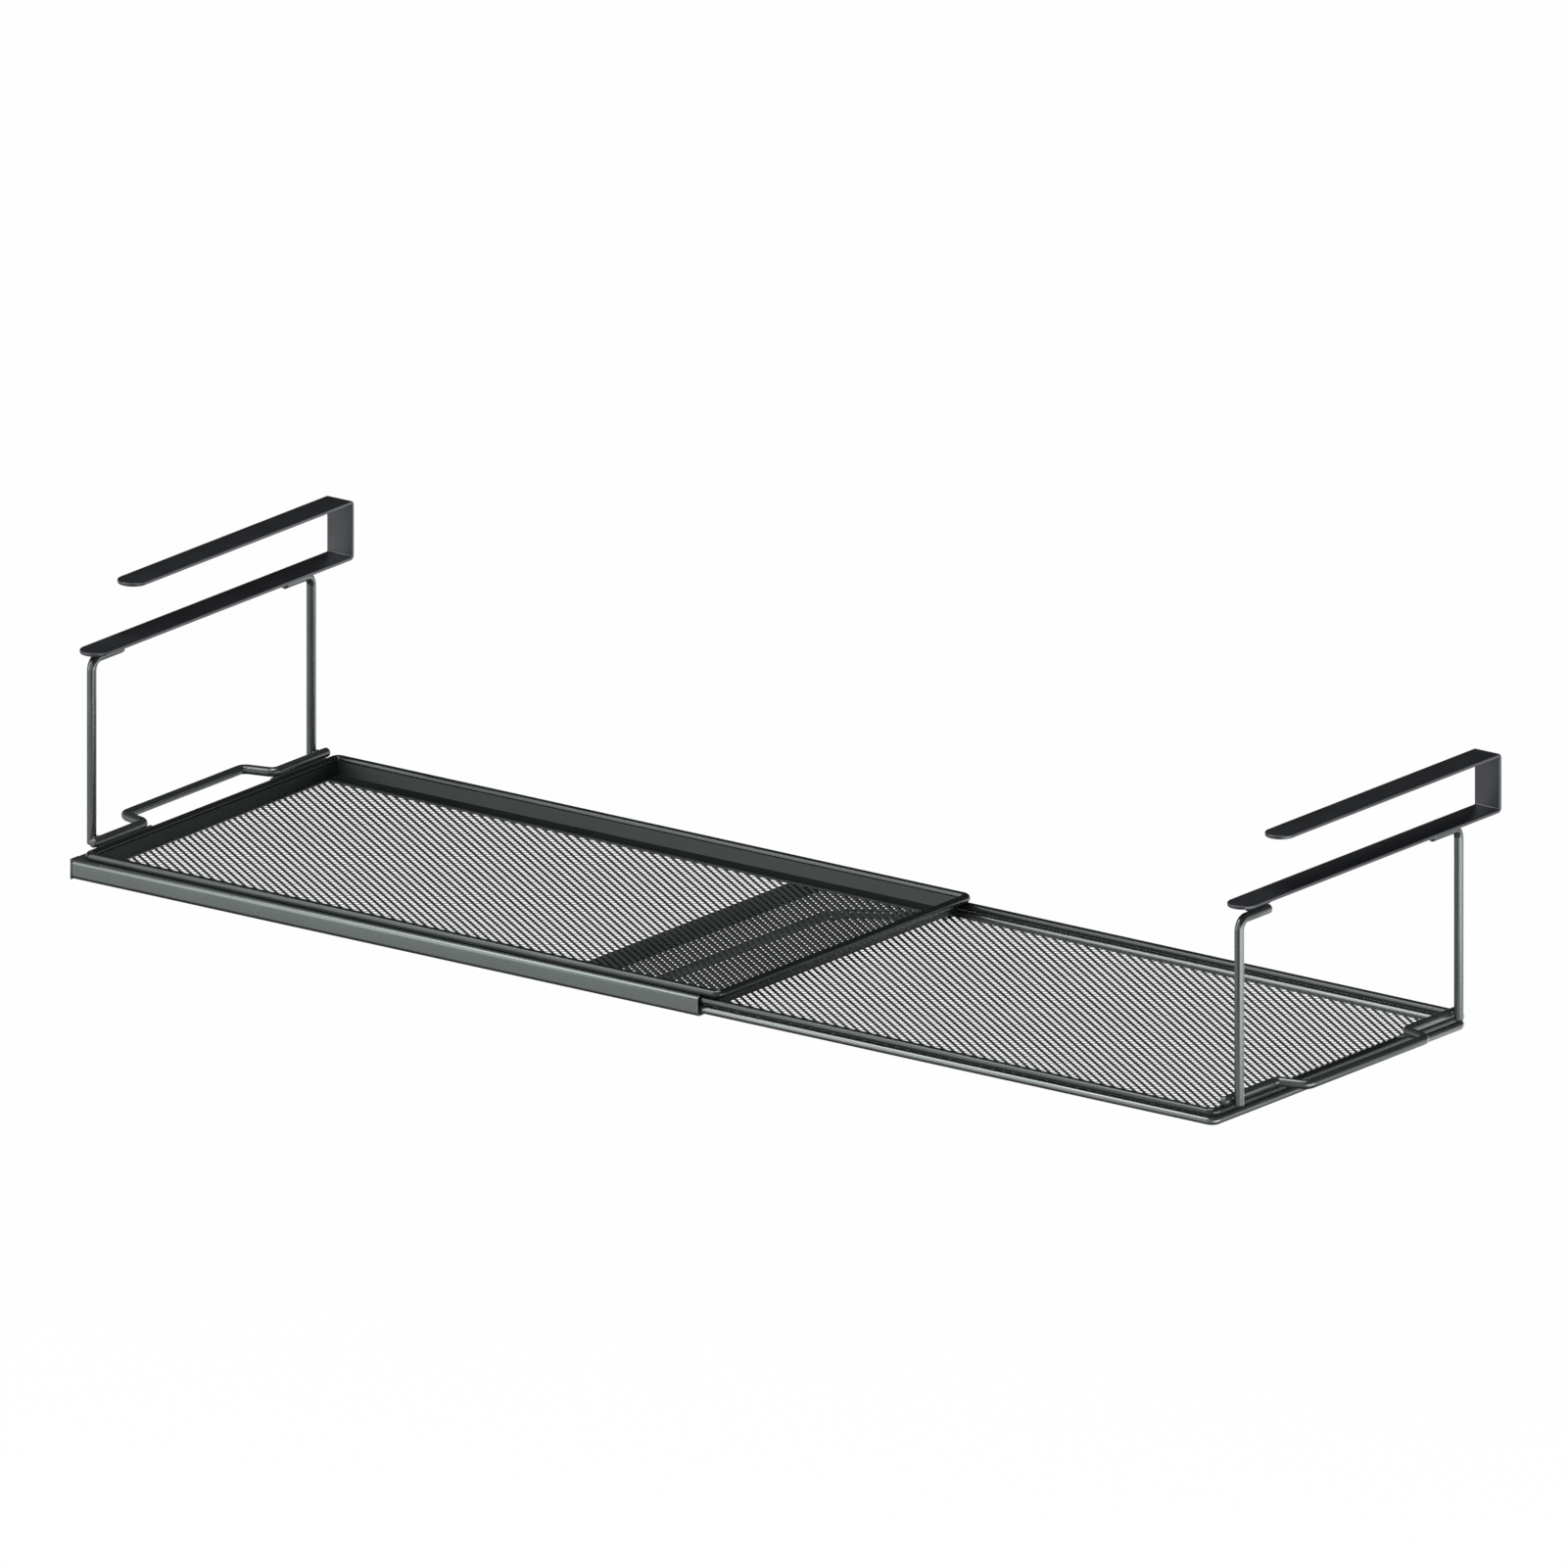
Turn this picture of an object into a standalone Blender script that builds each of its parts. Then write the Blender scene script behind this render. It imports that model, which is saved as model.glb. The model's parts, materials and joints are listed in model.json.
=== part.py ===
# Expandable shelf that hangs under a cabinet board, in powder-coated steel.
# A main tray carries two rails. A second tray slides in them, and each outer end hangs
# from a wire hanger whose flat clip is pushed over the board from the front.
# X runs along the shelf, Y from front to back and Z up. The origin is on the underside of
# the main clip's upper arm, where it rests on the board, midway between the hanger's rods.

import math

import bmesh
import bpy
from mathutils import Vector

# Fits
WELD_GAP = 0.0003        # between pieces that are welded or lie on each other
SLIDE_GAP = 0.0012       # between the sliding tray's wires and the rail's side

# Clip, bent from flat strip
STRIP_WIDTH = 0.016
STRIP_SHEET = 0.002
STRIP_TIP_RADIUS = 0.0078  # almost half round
CLIP_BEND = 0.0016       # centre line radius of its two bends
BOARD_GAP = 0.0277       # clear height between the arms
CLIP_OVERHANG = 0.0239   # inside of the clip's back, behind the back rod
LOWER_ARM_LEAD = 0.0048  # lower arm's tip, in front of the front rod's middle
UPPER_ARM_SETBACK = 0.032  # upper arm's tip, behind the lower one

# Hanger wires
HANGER_WIRE = 0.005
ROD_INSET = 0.01265      # rods, from the middles of the front and back rim wires
ROD_BEND = 0.006
FRONT_TAB = 0.0257       # bent end of a front rod, under the clip
BACK_TAB = 0.0238
ROD_TAIL = 0.0006        # how far a rod ends below the foot wire
SPACER_WIRE = 0.0038     # under the sliding clip, above the front rod's tab
SPACER_LENGTH = 0.0195
HANG_DROP = 0.1033       # underside of the clip to the middle of the main rim

# Foot wire, with a handle bent outwards in its middle
FOOT_END = 0.0067        # foot wire beyond the rods
FOOT_BEND = 0.0045
FOOT_OVERHANG = 0.00175  # foot wire to rim wire, sideways
HANDLE_REACH = 0.017
HANDLE_ROOT = 0.110      # length between the two inner bends
HANDLE_GRIP = 0.101      # length between the two outer bends

# Trays
TRAY_DEPTH = 0.2119      # between the middles of the front and back rim wires
MAIN_LENGTH = 0.40295    # between the middles of the main rim's end wires
MAIN_WIRE = 0.0046
MAIN_CORNER = 0.003
SLIDING_LENGTH = 0.4227  # open end to the middle of the end wire
OVERLAP = 0.09635        # of the sliding tray in the rails, as pulled out
SLIDING_WIRE = 0.0044
SLIDING_CORNER = 0.0034

# Main pan, pressed from sheet round a mesh floor
PAN_SHEET = 0.0008
PAN_DEPTH = 0.0068       # middle of the rim wire to the top of the floor
PAN_DRAFT = 0.001        # how far the walls lean in
PAN_SIDE_BORDER = 0.0085  # plain floor in front of the mesh and behind it
PAN_END_BORDER = 0.0012  # plain floor at both ends of the mesh

# Expanded mesh: bars that run from back left to front right
MESH_SHEET = 0.0005
MESH_PITCH = 0.0039
MESH_BAR = 0.0011
MESH_ANGLE = math.radians(35)
MESH_EDGE = 0.0025       # plain edge and cross rib of a mesh panel
MESH_BAY = 0.170         # most that a bay between cross ribs measures

# Rails, bent from sheet
RAIL_START = 0.0001      # left end of the rails, from the rods
RAIL_SETBACK = 0.0105    # right end of the rails, from the middle of the rim's end wire
RAIL_SHEET = 0.0009
RAIL_BEND = 0.0009
STOP_SHEET = 0.0014      # lugs at the rails' right ends
STOP_WIDTH = 0.003

# Inner end of the sliding tray: a plain bar, and a hoop of wire under the mesh whose
# splayed legs meet the rails' lugs when the tray is pulled right out
END_BAR_WIDTH = 0.0207
HOOP_WIRE = 0.0048
HOOP_SETBACK = 0.0426    # from the tray's open end to the hoop's straight run
HOOP_INSET = 0.00275     # ends of its legs, from the rails' bottom flanges
HOOP_SPREAD = 0.0276     # how far each leg runs outwards
HOOP_SPLAY = math.radians(32)
HOOP_BEND = 0.025

# Fineness
WIRE_FACETS = 4          # bevel resolution, which gives a wire 12 sides
BEND_STEPS = 5

# Colour, roughness and metallic value of each finish
FINISHES = {
    "wire": ((0.030, 0.033, 0.033), 0.34, 0.35),
    "strip": ((0.028, 0.029, 0.031), 0.42, 0.30),
    "sheet": ((0.045, 0.050, 0.048), 0.40, 0.30),
    "mesh": ((0.036, 0.038, 0.038), 0.46, 0.30),
}

# Places worked out from the sizes above
half_depth = TRAY_DEPTH / 2
rod_y = half_depth - ROD_INSET
hanger_radius = HANGER_WIRE / 2
main_radius = MAIN_WIRE / 2
sliding_radius = SLIDING_WIRE / 2

lower_arm_top = -BOARD_GAP
lower_arm_bottom = lower_arm_top - STRIP_SHEET
tab_z = lower_arm_bottom - WELD_GAP - hanger_radius
spacer_drop = SPACER_WIRE + WELD_GAP
main_rim_z = lower_arm_bottom - HANG_DROP
upper_wire_z = main_rim_z - main_radius - WELD_GAP - sliding_radius
lower_wire_z = upper_wire_z - SLIDING_WIRE - WELD_GAP
floor_z = main_rim_z - PAN_DEPTH

foot_side = HANGER_WIRE + WELD_GAP
main_left = foot_side + FOOT_OVERHANG
main_right = main_left + MAIN_LENGTH
rail_end = main_right - RAIL_SETBACK
sliding_left = rail_end - OVERLAP
sliding_right = sliding_left + SLIDING_LENGTH
sliding_rod_x = sliding_right + FOOT_OVERHANG + foot_side

wall_offset = main_radius + WELD_GAP
floor_offset = wall_offset + PAN_SHEET + PAN_DRAFT
rail_bottom = lower_wire_z - sliding_radius - WELD_GAP - RAIL_SHEET
rail_inside = half_depth - sliding_radius


def clear_scene():
    for item in list(bpy.data.objects):
        bpy.data.objects.remove(item, do_unlink=True)


def finish(item, kind):
    colour, roughness, metallic = FINISHES[kind]
    material = bpy.data.materials.new(item.name + "_coat")
    material.use_nodes = True
    shader = material.node_tree.nodes["Principled BSDF"]
    shader.inputs["Base Color"].default_value = (*colour, 1)
    shader.inputs["Roughness"].default_value = roughness
    shader.inputs["Metallic"].default_value = metallic
    item.data.materials.append(material)


def place(name, data, kind, parent):
    item = bpy.data.objects.new(name, data)
    bpy.context.collection.objects.link(item)
    item.parent = parent
    finish(item, kind)
    return item


def body_empty(name, x):
    item = bpy.data.objects.new(name, None)
    bpy.context.collection.objects.link(item)
    item.location = (x, 0, 0)
    return item


def arc_corner(before, corner, after, radius):
    """Points of the round bend that replaces a corner of a path."""
    back = (before - corner).normalized()
    ahead = (after - corner).normalized()
    half_turn = (math.pi - back.angle(ahead)) / 2
    reach = radius * math.tan(half_turn)
    centre = corner + (back + ahead).normalized() * radius / math.cos(half_turn)
    start = corner + back * reach - centre
    axis = start.cross(corner + ahead * reach - centre).normalized()
    points = []
    for step in range(BEND_STEPS + 1):
        turn = 2 * half_turn * step / BEND_STEPS
        sideways = axis.cross(start)
        points.append(centre + start * math.cos(turn) + sideways * math.sin(turn))
    return points


def bent_path(corners, radius, closed=False):
    """A path through the corners, each rounded to the same radius."""
    corners = [Vector(corner) for corner in corners]
    count = len(corners)
    points = []
    for index, corner in enumerate(corners):
        if not closed and index in (0, count - 1):
            points.append(corner)
        else:
            points += arc_corner(corners[index - 1], corner, corners[(index + 1) % count], radius)
    return points


def wire(name, points, diameter, parent, closed=False):
    """A round wire along a path, relative to its body."""
    curve = bpy.data.curves.new(name, "CURVE")
    curve.dimensions = "3D"
    curve.bevel_depth = diameter / 2
    curve.bevel_resolution = WIRE_FACETS
    curve.use_fill_caps = not closed
    spline = curve.splines.new("POLY")
    spline.points.add(len(points) - 1)
    for knot, spot in zip(spline.points, points):
        knot.co = (*spot, 1)
    spline.use_cyclic_u = closed
    return place(name, curve, "wire", parent)


def mesh_from(bm, name):
    bmesh.ops.recalc_face_normals(bm, faces=bm.faces)
    data = bpy.data.meshes.new(name)
    bm.to_mesh(data)
    bm.free()
    return data


def bent_strip(name, path, x_from, x_to, sheet, kind, parent, tip_radius=0):
    """Sheet bent along a path in the YZ plane, as wide as the given stretch of X."""
    bm = bmesh.new()
    rows = [[bm.verts.new((x, point.y, point.z)) for x in (x_from, x_to)] for point in path]
    for near, far in zip(rows, rows[1:]):
        bm.faces.new((near[0], near[1], far[1], far[0]))
    if tip_radius:
        tips = rows[0] + rows[-1]
        bmesh.ops.bevel(bm, geom=tips, offset=tip_radius, segments=BEND_STEPS,
                        profile=0.5, affect="VERTICES")
    item = place(name, mesh_from(bm, name), kind, parent)
    solid = item.modifiers.new("sheet", "SOLIDIFY")
    solid.thickness = sheet
    solid.offset = 0
    solid.use_even_offset = True
    return item


def rounded_box(left, right, half, radius):
    """Outline of a rectangle with round corners."""
    outline = []
    corners = ((right, half), (left, half), (left, -half), (right, -half))
    for index, (x, y) in enumerate(corners):
        centre_x = x - math.copysign(radius, x - (left + right) / 2)
        centre_y = y - math.copysign(radius, y)
        for step in range(BEND_STEPS + 1):
            turn = math.pi / 2 * (index + step / BEND_STEPS)
            outline.append((centre_x + radius * math.cos(turn), centre_y + radius * math.sin(turn)))
    return outline


def thicken(bm, shift):
    """Turn the open faces of a mesh into a solid by pulling a copy of them aside."""
    pushed = bmesh.ops.extrude_face_region(bm, geom=list(bm.faces), use_keep_orig=True)
    moved = [part for part in pushed["geom"] if isinstance(part, bmesh.types.BMVert)]
    bmesh.ops.translate(bm, verts=moved, vec=shift)


def flat_plate(name, outline, holes, top, sheet, kind, parent):
    bm = bmesh.new()
    edges = []
    for loop in [outline] + holes:
        corners = [bm.verts.new((x, y, top)) for x, y in loop]
        edges += [bm.edges.new(pair) for pair in zip(corners, corners[1:] + corners[:1])]
    bmesh.ops.triangle_fill(bm, edges=edges, use_beauty=True, normal=(0, 0, 1))
    thicken(bm, (0, 0, -sheet))
    return place(name, mesh_from(bm, name), kind, parent)


def clip_polygon(polygon, axis, limit, keep_above):
    """The part of a convex polygon on one side of a line across an axis."""
    kept = []
    for index, point in enumerate(polygon):
        last = polygon[index - 1]
        inside = (point[axis] > limit) == keep_above
        was_inside = (last[axis] > limit) == keep_above
        if inside != was_inside:
            share = (limit - last[axis]) / (point[axis] - last[axis])
            kept.append(tuple(a + (b - a) * share for a, b in zip(last, point)))
        if inside:
            kept.append(point)
    return kept


def polygon_area(polygon):
    pairs = zip(polygon, polygon[1:] + polygon[:1])
    return abs(sum(a[0] * b[1] - b[0] * a[1] for a, b in pairs)) / 2


def mesh_slots(left, right, half):
    """The slots between the slanting bars of one bay of expanded mesh."""
    along = Vector((math.cos(MESH_ANGLE), -math.sin(MESH_ANGLE)))
    across = Vector((math.sin(MESH_ANGLE), math.cos(MESH_ANGLE)))
    slot_width = MESH_PITCH - MESH_BAR
    middle = Vector(((left + right) / 2, 0))
    reach = math.hypot((right - left) / 2, half)
    count = math.ceil(reach / MESH_PITCH)
    slots = []
    for step in range(-count, count + 1):
        centre = middle + across * MESH_PITCH * step
        sides = ((-1, -1), (1, -1), (1, 1), (-1, 1))
        slot = [tuple(centre + along * reach * a + across * slot_width / 2 * b) for a, b in sides]
        for axis, limit, keep_above in ((0, left, True), (0, right, False),
                                        (1, -half, True), (1, half, False)):
            slot = clip_polygon(slot, axis, limit, keep_above) if slot else slot
        if len(slot) > 2 and polygon_area(slot) > slot_width ** 2:
            slots.append(slot)
    return slots


def mesh_panel(name, left, right, half, corner, top, parent):
    """A panel of expanded mesh, split into equal bays by plain cross ribs."""
    bays = math.ceil((right - left) / MESH_BAY)
    pitch = (right - left - MESH_EDGE) / bays
    slots = []
    for bay in range(bays):
        bay_left = left + pitch * bay + MESH_EDGE
        slots += mesh_slots(bay_left, bay_left + pitch - MESH_EDGE, half - MESH_EDGE)
    outline = rounded_box(left, right, half, corner)
    return flat_plate(name, outline, slots, top, MESH_SHEET, "mesh", parent)


def main_tray_rim(parent):
    corners = [(main_left, -half_depth, main_rim_z), (main_right, -half_depth, main_rim_z),
               (main_right, half_depth, main_rim_z), (main_left, half_depth, main_rim_z)]
    wire("main_tray_rim", bent_path(corners, MAIN_CORNER, True), MAIN_WIRE, parent, True)


def main_tray_pan(parent):
    """Leaning walls and a plain border, as one ring bridged from six outlines."""
    floor_bottom = floor_z - PAN_SHEET
    outer, inner = wall_offset, wall_offset + PAN_SHEET
    end = floor_offset + PAN_END_BORDER
    side = floor_offset + PAN_SIDE_BORDER
    rings = ((outer, outer, main_rim_z), (outer + PAN_DRAFT, outer + PAN_DRAFT, floor_bottom),
             (end, side, floor_bottom), (end, side, floor_z),
             (floor_offset, floor_offset, floor_z), (inner, inner, main_rim_z))
    bm = bmesh.new()
    loops = []
    for end_offset, side_offset, z in rings:
        outline = rounded_box(main_left + end_offset, main_right - end_offset,
                              half_depth - side_offset, max(MAIN_CORNER - end_offset, PAN_SHEET))
        loops.append([bm.verts.new((x, y, z)) for x, y in outline])
    for first, second in zip(loops, loops[1:] + loops[:1]):
        pairs = zip(first, first[1:] + first[:1], second[1:] + second[:1], second)
        for quad in pairs:
            bm.faces.new(quad)
    place("main_tray_pan", mesh_from(bm, "main_tray_pan"), "sheet", parent)


def main_tray_mesh(parent):
    end = floor_offset + PAN_END_BORDER + WELD_GAP
    side = floor_offset + PAN_SIDE_BORDER + WELD_GAP
    mesh_panel("main_tray_mesh", main_left + end, main_right - end, half_depth - side,
               PAN_SHEET, floor_z, parent)


def rail_profile(side):
    """Middle line of the rail's sheet, from its top flange down to its bottom flange."""
    half = RAIL_SHEET / 2
    web_y = half_depth + sliding_radius + SLIDE_GAP + half
    flange_z = main_rim_z - main_radius - WELD_GAP / 2
    to_rim = main_rim_z - flange_z - half
    to_wire = flange_z - half - upper_wire_z
    flange_y = half_depth + max(math.sqrt((main_radius + WELD_GAP) ** 2 - to_rim ** 2),
                                math.sqrt((sliding_radius + WELD_GAP) ** 2 - to_wire ** 2))
    corners = ((flange_y, flange_z), (web_y, flange_z),
               (web_y, rail_bottom + half), (rail_inside, rail_bottom + half))
    return bent_path([(0, side * y, z) for y, z in corners], RAIL_BEND)


def rail(name, side, parent):
    bent_strip(name, rail_profile(side), RAIL_START, rail_end, RAIL_SHEET, "sheet", parent)


def rail_end_plate(name, side, parent):
    """Plate that closes the rail's left end and stops the sliding tray there."""
    outline = rail_profile(side)
    outer = max(abs(point.y) for point in outline) + RAIL_SHEET / 2
    high = max(point.z for point in outline) + RAIL_SHEET / 2
    upright(name, side, (rail_inside, outer), (rail_bottom, high), RAIL_START - WELD_GAP,
            RAIL_SHEET, parent)


def upright(name, side, depths, heights, right, sheet, parent):
    """A small plate that stands across X, given by its right-hand face."""
    (near, far), (low, high) = depths, heights
    bm = bmesh.new()
    corners = ((near, low), (far, low), (far, high), (near, high))
    bm.faces.new([bm.verts.new((right, side * y, z)) for y, z in corners])
    thicken(bm, (-sheet, 0, 0))
    place(name, mesh_from(bm, name), "sheet", parent)


def rail_stop(name, side, parent):
    """Lug on the inner edge of the rail's bottom flange, which catches the hoop's legs."""
    far = rail_inside - WELD_GAP
    high = lower_wire_z - MESH_SHEET / 2 - WELD_GAP
    upright(name, side, (far - STOP_WIDTH, far), (rail_bottom, high), rail_end, STOP_SHEET, parent)


def sliding_rim_wire(name, z, parent):
    left = sliding_left - parent.location.x
    right = sliding_right - parent.location.x
    corners = [(left, -half_depth, z), (right, -half_depth, z),
               (right, half_depth, z), (left, half_depth, z)]
    wire(name, bent_path(corners, SLIDING_CORNER), SLIDING_WIRE, parent)


def sliding_floor(parent):
    """Mesh floor between the lower wires, and the plain bar across its open end."""
    inset = sliding_radius + WELD_GAP
    left = sliding_left - parent.location.x
    right = sliding_right - parent.location.x - inset
    half = half_depth - inset
    bar_right = left + END_BAR_WIDTH
    top = lower_wire_z + MESH_SHEET / 2
    bar = rounded_box(left, bar_right, half, MESH_EDGE)
    flat_plate("sliding_tray_end_bar", bar, [], top, MESH_SHEET, "sheet", parent)
    corner = SLIDING_CORNER - inset
    mesh_panel("sliding_tray_mesh", bar_right + WELD_GAP, right, half, corner, top, parent)


def sliding_hoop(parent):
    """Stiffening hoop under the mesh, near its inner end."""
    root_x = sliding_left + HOOP_SETBACK - parent.location.x
    z = lower_wire_z - MESH_SHEET / 2 - WELD_GAP - HOOP_WIRE / 2
    tip = rail_inside - HOOP_INSET
    root = tip - HOOP_SPREAD
    tip_x = root_x + (tip - root) / math.tan(HOOP_SPLAY)
    corners = [(tip_x, -tip, z), (root_x, -root, z), (root_x, root, z), (tip_x, tip, z)]
    wire("sliding_tray_hoop", bent_path(corners, HOOP_BEND), HOOP_WIRE, parent)


def hanger(prefix, rod_x, inward, rim_z, rim_radius, front_drop, parent):
    """Clip, two rods and the foot wire that stands on the tray's end wire."""
    x = rod_x - parent.location.x
    middle = STRIP_SHEET / 2
    back = rod_y + CLIP_OVERHANG + middle
    lower = lower_arm_bottom + middle
    lower_tip = -rod_y - LOWER_ARM_LEAD
    path = bent_path([(0, lower_tip + UPPER_ARM_SETBACK, middle), (0, back, middle),
                      (0, back, lower), (0, lower_tip, lower)], CLIP_BEND)
    bent_strip(prefix + "_clip", path, x - STRIP_WIDTH / 2, x + STRIP_WIDTH / 2,
               STRIP_SHEET, "strip", parent, STRIP_TIP_RADIUS)

    rise = math.sqrt((hanger_radius + rim_radius + WELD_GAP) ** 2 - FOOT_OVERHANG ** 2)
    foot_z = rim_z + rise
    rod_bottom = foot_z - hanger_radius - ROD_TAIL
    for label, side, drop, tab in (("front", -1, front_drop, FRONT_TAB), ("back", 1, 0, BACK_TAB)):
        y = side * rod_y
        top = tab_z - drop
        corners = [(x, y - side * tab, top), (x, y, top), (x, y, rod_bottom)]
        wire(f"{prefix}_rod_{label}", bent_path(corners, ROD_BEND), HANGER_WIRE, parent)

    foot_x = x + inward * foot_side
    grip_x = foot_x - inward * HANDLE_REACH
    half = [(foot_x, rod_y + FOOT_END), (foot_x, HANDLE_ROOT / 2), (grip_x, HANDLE_GRIP / 2)]
    corners = [(a, -b, foot_z) for a, b in half] + [(a, b, foot_z) for a, b in reversed(half)]
    wire(prefix + "_foot", bent_path(corners, FOOT_BEND), HANGER_WIRE, parent)


def tab_spacer(parent):
    """Short wire between the sliding clip and the tab of its front rod."""
    x = sliding_rod_x - parent.location.x
    z = lower_arm_bottom - WELD_GAP - SPACER_WIRE / 2
    back_end = FRONT_TAB - rod_y
    ends = [(x, back_end - SPACER_LENGTH, z), (x, back_end, z)]
    wire("sliding_tab_spacer", ends, SPACER_WIRE, parent)


def build():
    clear_scene()
    main = body_empty("main_body", 0)
    sliding = body_empty("sliding_body", sliding_right)
    main_tray_rim(main)
    main_tray_pan(main)
    main_tray_mesh(main)
    for label, side in (("front", -1), ("back", 1)):
        rail(label + "_rail", side, main)
        rail_end_plate(label + "_rail_end_plate", side, main)
        rail_stop(label + "_rail_stop", side, main)
    hanger("main", 0, 1, main_rim_z, main_radius, 0, main)
    sliding_rim_wire("sliding_tray_upper_wire", upper_wire_z, sliding)
    sliding_rim_wire("sliding_tray_lower_wire", lower_wire_z, sliding)
    sliding_floor(sliding)
    sliding_hoop(sliding)
    hanger("sliding", sliding_rod_x, -1, upper_wire_z, sliding_radius, spacer_drop, sliding)
    tab_spacer(sliding)


build()
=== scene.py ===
import json
import math

import bmesh
import bpy
from mathutils import Matrix, Vector

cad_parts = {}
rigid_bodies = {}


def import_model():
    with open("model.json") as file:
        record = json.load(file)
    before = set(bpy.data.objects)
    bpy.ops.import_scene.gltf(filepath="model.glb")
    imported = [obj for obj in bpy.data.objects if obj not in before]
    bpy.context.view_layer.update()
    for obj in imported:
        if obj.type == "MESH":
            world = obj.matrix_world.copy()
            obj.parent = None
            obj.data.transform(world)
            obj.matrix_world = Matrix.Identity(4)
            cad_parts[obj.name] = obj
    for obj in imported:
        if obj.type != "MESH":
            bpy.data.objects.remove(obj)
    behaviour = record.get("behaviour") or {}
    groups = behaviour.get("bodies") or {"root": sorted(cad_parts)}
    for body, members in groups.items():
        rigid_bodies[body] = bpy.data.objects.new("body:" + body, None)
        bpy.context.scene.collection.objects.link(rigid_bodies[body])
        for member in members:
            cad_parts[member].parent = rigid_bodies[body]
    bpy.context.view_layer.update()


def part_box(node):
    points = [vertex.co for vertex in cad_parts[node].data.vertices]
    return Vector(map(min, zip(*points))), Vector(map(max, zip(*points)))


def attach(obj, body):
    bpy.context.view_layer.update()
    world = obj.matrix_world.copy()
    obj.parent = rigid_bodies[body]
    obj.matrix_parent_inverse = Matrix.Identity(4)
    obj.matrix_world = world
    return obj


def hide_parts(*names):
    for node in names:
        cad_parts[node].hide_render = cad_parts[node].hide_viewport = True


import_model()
print("frame loaded")

xWay = Vector((1, 0, 0))
yWay = Vector((0, 1, 0))
zWay = Vector((0, 0, 1))
tiny = 0.0001       # places closer than this are the same
wireSides = 24


def deselectAll():
    if bpy.context.mode != "OBJECT":
        bpy.ops.object.mode_set(mode="OBJECT")
    for item in bpy.context.view_layer.objects:
        item.select_set(False)


def takeUp(piece):
    deselectAll()
    piece.select_set(True)
    bpy.context.view_layer.objects.active = piece


def edit(piece):
    takeUp(piece)
    bpy.ops.object.mode_set(mode="EDIT")


def finishEdit():
    bpy.ops.object.mode_set(mode="OBJECT")


def pickAll(kind):
    bpy.ops.mesh.select_mode(type=kind)
    bpy.ops.mesh.select_all(action="SELECT")


def pickFaces(piece, wanted):
    bm = bmesh.from_edit_mesh(piece.data)
    bm.select_mode = {"FACE"}
    for face in bm.faces:
        face.select_set(bool(wanted(face)))
    bm.select_flush_mode()
    bmesh.update_edit_mesh(piece.data)


def pickEdges(piece, wanted):
    bpy.ops.mesh.select_mode(type="EDGE")
    bpy.ops.mesh.select_all(action="DESELECT")
    bm = bmesh.from_edit_mesh(piece.data)
    for edge in bm.edges:
        if wanted(edge):
            edge.select_set(True)
    bmesh.update_edit_mesh(piece.data)


def middleOf(part):
    spots = [corner.co for corner in part.verts]
    return sum(spots, Vector()) / len(spots)


def push(way):
    bpy.ops.mesh.extrude_region_move(TRANSFORM_OT_translate={"value": way})


def outwards(piece):
    edit(piece)
    pickAll("VERT")
    bpy.ops.mesh.remove_doubles(threshold=tiny / 10)
    bpy.ops.mesh.normals_make_consistent(inside=False)
    finishEdit()


def smooth(piece, degrees=35):
    takeUp(piece)
    bpy.ops.object.shade_smooth_by_angle(angle=math.radians(degrees))


def applyBevel(piece, width, segments, degrees=40):
    takeUp(piece)
    rounding = piece.modifiers.new("rounding", "BEVEL")
    rounding.width = width
    rounding.segments = segments
    rounding.limit_method = "ANGLE"
    rounding.angle_limit = math.radians(degrees)
    bpy.ops.object.modifier_apply(modifier=rounding.name)


def applySheet(piece, thickness, offset=0, even=False):
    takeUp(piece)
    sheet = piece.modifiers.new("sheet", "SOLIDIFY")
    sheet.thickness = thickness
    sheet.offset = offset
    sheet.use_even_offset = even
    bpy.ops.object.modifier_apply(modifier=sheet.name)


def joinTo(piece, others):
    takeUp(piece)
    for other in others:
        other.select_set(True)
    bpy.ops.object.join()


def settle(name, size=(1, 1, 1)):
    piece = bpy.context.active_object
    piece.name = piece.data.name = name
    piece.scale = size
    bpy.ops.object.transform_apply(location=True, rotation=True, scale=True)
    return piece


# A section stands square to its heading, with its first side across.
def turned(heading, across):
    rows = (across, heading.cross(across), heading)
    return Matrix(rows).transposed().to_euler()


def startWire(name, start, heading, across, thick):
    deselectAll()
    bpy.ops.mesh.primitive_circle_add(vertices=wireSides, radius=thick / 2, fill_type="NGON",
                                      location=start, rotation=turned(heading, across))
    return settle(name)


def startSheet(name, start, wide, deep, turn=(0, 0, 0)):
    deselectAll()
    bpy.ops.mesh.primitive_plane_add(size=1, location=start, rotation=turn)
    return settle(name, (wide, deep, 1))


# A section is drawn along its path: a number runs straight on, and a tuple bends it by
# degrees at a radius towards a side.
def drawPath(piece, start, heading, steps, arcSteps=10):
    edit(piece)
    pickAll("FACE")
    spot, way = Vector(start), Vector(heading)
    for step in steps:
        if isinstance(step, tuple):
            degrees, radius, side = step
            hub = spot + side * radius
            axis = way.cross(side).normalized()
            # the spin tool turns against its axis
            bpy.ops.mesh.spin(steps=max(2, round(arcSteps * degrees / 90)),
                              angle=-math.radians(degrees), center=hub, axis=axis)
            spin = Matrix.Rotation(math.radians(degrees), 3, axis)
            spot = hub + spin @ (spot - hub)
            way = (spin @ way).normalized()
        else:
            push(way * step)
            spot = spot + way * step
    finishEdit()


def pickWireEnds(piece):
    edit(piece)
    pickFaces(piece, lambda face: len(face.verts) == wireSides)


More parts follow.
